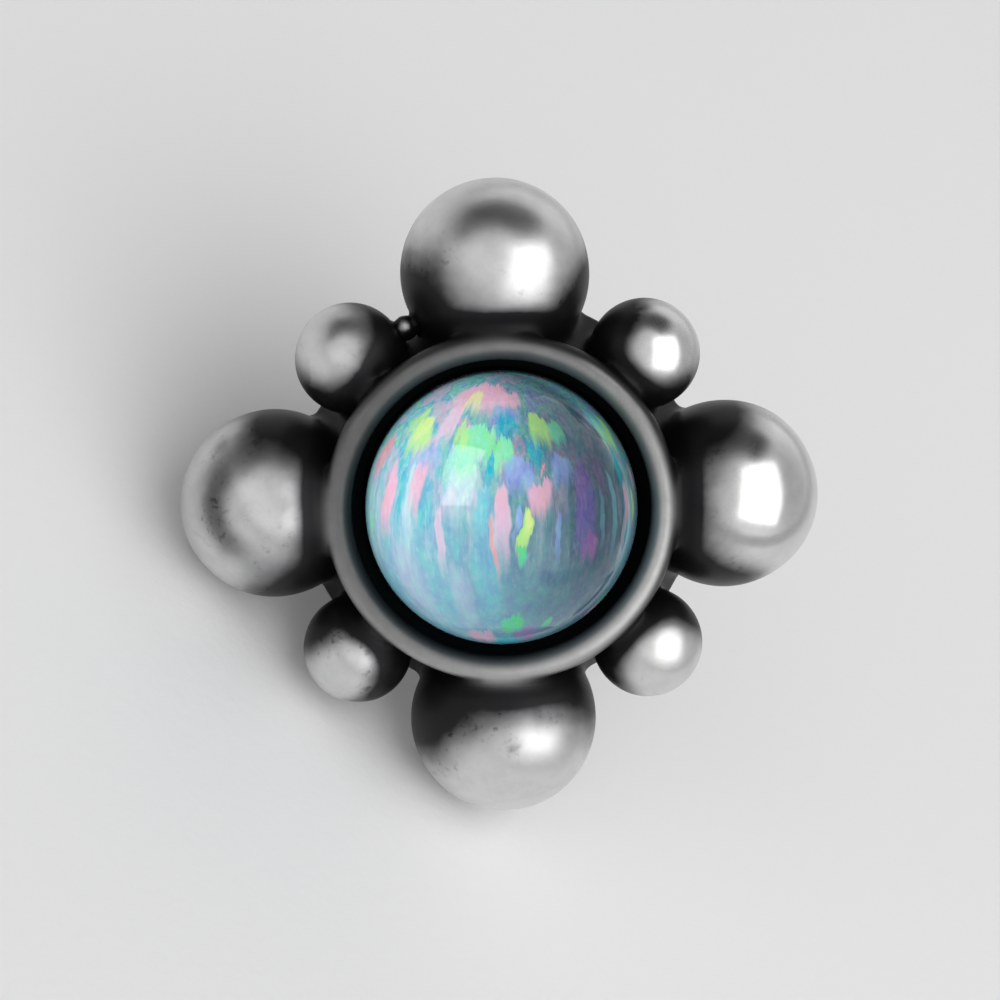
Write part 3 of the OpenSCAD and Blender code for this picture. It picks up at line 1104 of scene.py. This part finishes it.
def make_post():
    rows = post_rows()
    turn = np.linspace(0, 2 * math.pi, SEGMENTS, endpoint=False)
    rings = [
        np.stack([radius * np.cos(turn), radius * np.sin(turn), np.full(SEGMENTS, height)], 1)
        for radius, height, _ in rows
    ]
    points = np.concatenate([*rings, [(0, 0, TIP_Z), (0, 0, STEM_TOP_Z)]])
    faces = tube_faces(len(rows), SEGMENTS)
    piece = add_piece("steel_post", points, faces, bright_steel(), "threaded_post")
    grooves = [np.broadcast_to(groove, SEGMENTS) for _, _, groove in rows]
    add_values(piece, groove=np.concatenate([*grooves, [0, 0]]))


# Stage


# The floor is flat round the top and sweeps up further out, in millimetres
FLOOR_FLAT_R = 60
FLOOR_R = 220
FLOOR_SWEEP_H = 45
FLOOR_T = 2
FLOOR_SEGMENTS = 96
FLOOR_PALE = (0.87,) * 3
FLOOR_PALE_LOW = (0.84,) * 3


def pale_floor():
    t = Tree(bpy.data.materials.new("pale_floor"))
    own = t.scaled(t.node("ShaderNodeTexCoord").outputs["Object"], (1 / MM,) * 3)
    cloud = t.noise(own, 0.15, 2)
    t.set(
        Base_Color=t.mix(cloud, FLOOR_PALE_LOW, FLOOR_PALE),
        Roughness=0.75,
        Normal=t.bump(t.noise(own, 14, 3), 0.01, 0.3),
    )
    return t.owner


def make_floor():
    shares = stretch(1, 0, 0.1)
    sweep = [
        (FLOOR_FLAT_R + (FLOOR_R - FLOOR_FLAT_R) * share, FLOOR_SWEEP_H * share**2)
        for share in shares
    ]
    points, faces = lathe([(0, -FLOOR_T), (FLOOR_R, -FLOOR_T), *sweep, (0, 0)], FLOOR_SEGMENTS)
    mesh = bpy.data.meshes.new("floor")
    mesh.from_pydata((points * MM).tolist(), [], [tuple(f) for f in faces])
    mesh.shade_smooth()
    mesh.materials.append(pale_floor())
    floor = bpy.data.objects.new("floor", mesh)
    bpy.context.scene.collection.objects.link(floor)


# The studio's light from each height: places from the horizon up to overhead, and shades
STUDIO = ((0.0, (0.90,) * 3), (0.3, (0.64,) * 3), (1.0, (0.50,) * 3))
STUDIO_STRENGTH = 1.4

# A dark screen stands upright to the left of the camera: the side that it is on, and the cosines of
# the angles that its edges run over, on that side and towards the camera
SCREEN_SIDE = (-0.74, 0.27, 0.62)
SCREEN_SIDE_EDGE = (0.50, 0.78)
SCREEN_FAR_EDGE = (-0.16, 0.02)
SCREEN_NEAR_EDGE = (0.76, 0.56)
SCREEN_SHADE = 0.02

# The studio is dimmer towards the picture's right: cosines of the angles that the dimming runs over
DIM_EDGE = (0.62, 0.97)
DIM_TO = 0.6


def make_world():
    t = Tree(bpy.data.worlds.new("studio"), "Background")
    bpy.context.scene.world = t.owner
    where = t.node("ShaderNodeTexCoord").outputs["Generated"]
    right, _, toward = camera_axes()

    def share_along(direction, edge):
        return t.ease(t.vector("DOT_PRODUCT", where, tuple(direction)).outputs["Value"], *edge)

    screen = t.math(
        "MULTIPLY", share_along(toward, SCREEN_FAR_EDGE), share_along(toward, SCREEN_NEAR_EDGE)
    )
    screen = t.math("MULTIPLY", screen, share_along(SCREEN_SIDE, SCREEN_SIDE_EDGE))
    shade = t.mix(screen, t.ramp(t.parts(where)[2], STUDIO), (SCREEN_SHADE,) * 3)
    dim = t.between(share_along(right, DIM_EDGE), 1.0, DIM_TO)
    dimmed = t.node("ShaderNodeVectorMath", {0: shade, "Scale": dim}, operation="SCALE").outputs[0]
    t.set(Color=dimmed, Strength=STUDIO_STRENGTH)


# The photograph's camera, relative to the top's own frame: degrees and millimetres
CAMERA_YAW = -1.37
CAMERA_PITCH = 8.29
CAMERA_ROLL = -1.05
CAMERA_AIM = (0, 0, 0.1)
CAMERA_LENS = 100.0
# Share of the frame's width that the four large beads take
FRAME_SHARE = 0.64


def camera_axes():
    """Right, up and towards the camera, as vectors in the row frame."""
    yaw, pitch, roll = (math.radians(a) for a in (CAMERA_YAW, CAMERA_PITCH, CAMERA_ROLL))
    right = Vector((math.cos(yaw), 0, -math.sin(yaw)))
    toward = Vector((math.sin(yaw), 0, math.cos(yaw)))
    up = Vector((0, 1, 0))
    toward, up = (
        toward * math.cos(pitch) + up * math.sin(pitch),
        up * math.cos(pitch) - toward * math.sin(pitch),
    )
    right, up = (
        right * math.cos(roll) + up * math.sin(roll),
        up * math.cos(roll) - right * math.sin(roll),
    )
    turn = LAID_DOWN.to_3x3()
    return turn @ right, turn @ up, turn @ toward


def make_camera():
    right, up, toward = camera_axes()
    data = bpy.data.cameras.new("camera")
    data.lens = CAMERA_LENS
    width = 2 * (BEAD_CIRCLE_R + BEAD_R) / FRAME_SHARE
    distance = width * MM * data.lens / data.sensor_width
    data.clip_start, data.clip_end = 0.001, 5
    camera = bpy.data.objects.new("camera", data)
    aim = LAID_DOWN @ (Vector(CAMERA_AIM) * MM)
    matrix = Matrix((right, up, toward)).transposed().to_4x4()
    matrix.translation = aim + toward * distance
    camera.matrix_world = matrix
    bpy.context.scene.collection.objects.link(camera)
    bpy.context.scene.camera = camera


def softbox(name, aside, above, distance, width, height, radiance):
    """A soft lamp seen from the top at angles aside and above the camera's direction, in degrees.
    Distance, width and height are in millimetres."""
    right, up, toward = camera_axes()
    a, b = math.radians(aside), math.radians(above)
    away = right * math.sin(a) * math.cos(b) + up * math.sin(b) + toward * math.cos(a) * math.cos(b)
    data = bpy.data.lights.new(name, "AREA")
    data.shape = "RECTANGLE"
    data.size, data.size_y = width * MM, height * MM
    data.energy = radiance * math.pi * data.size * data.size_y
    lamp = bpy.data.objects.new(name, data)
    upward = (up - away * up.dot(away)).normalized()
    matrix = Matrix((upward.cross(away), upward, away)).transposed().to_4x4()
    matrix.translation = LAID_DOWN.translation + away * distance * MM
    lamp.matrix_world = matrix
    lamp.visible_camera = False
    bpy.context.scene.collection.objects.link(lamp)
    return lamp


def lights_only(lamp, piece, state):
    """Has a lamp light one piece alone, or with EXCLUDE all but that piece, as screens would."""
    group = bpy.data.collections.new(lamp.name + "_reach")
    group.objects.link(piece)
    group.collection_objects[0].light_linking.link_state = state
    lamp.light_linking.receiver_collection = group


# The values of each lamp's softbox, in the same order
KEY = (45, -2, 60, 64, 78, 1.3)
WINDOW = (-38, 26, 70, 36, 62, 4.4)


def make_lights(stone):
    """The key lamp lights all but the stone, and the window lamp the stone alone."""
    lights_only(softbox("key", *KEY), stone, "EXCLUDE")
    lights_only(softbox("window", *WINDOW), stone, "INCLUDE")


make_setting()
opal = make_opal()
make_post()
make_floor()
make_world()
make_camera()
make_lights(opal)
bpy.context.scene.view_settings.view_transform = "Standard"
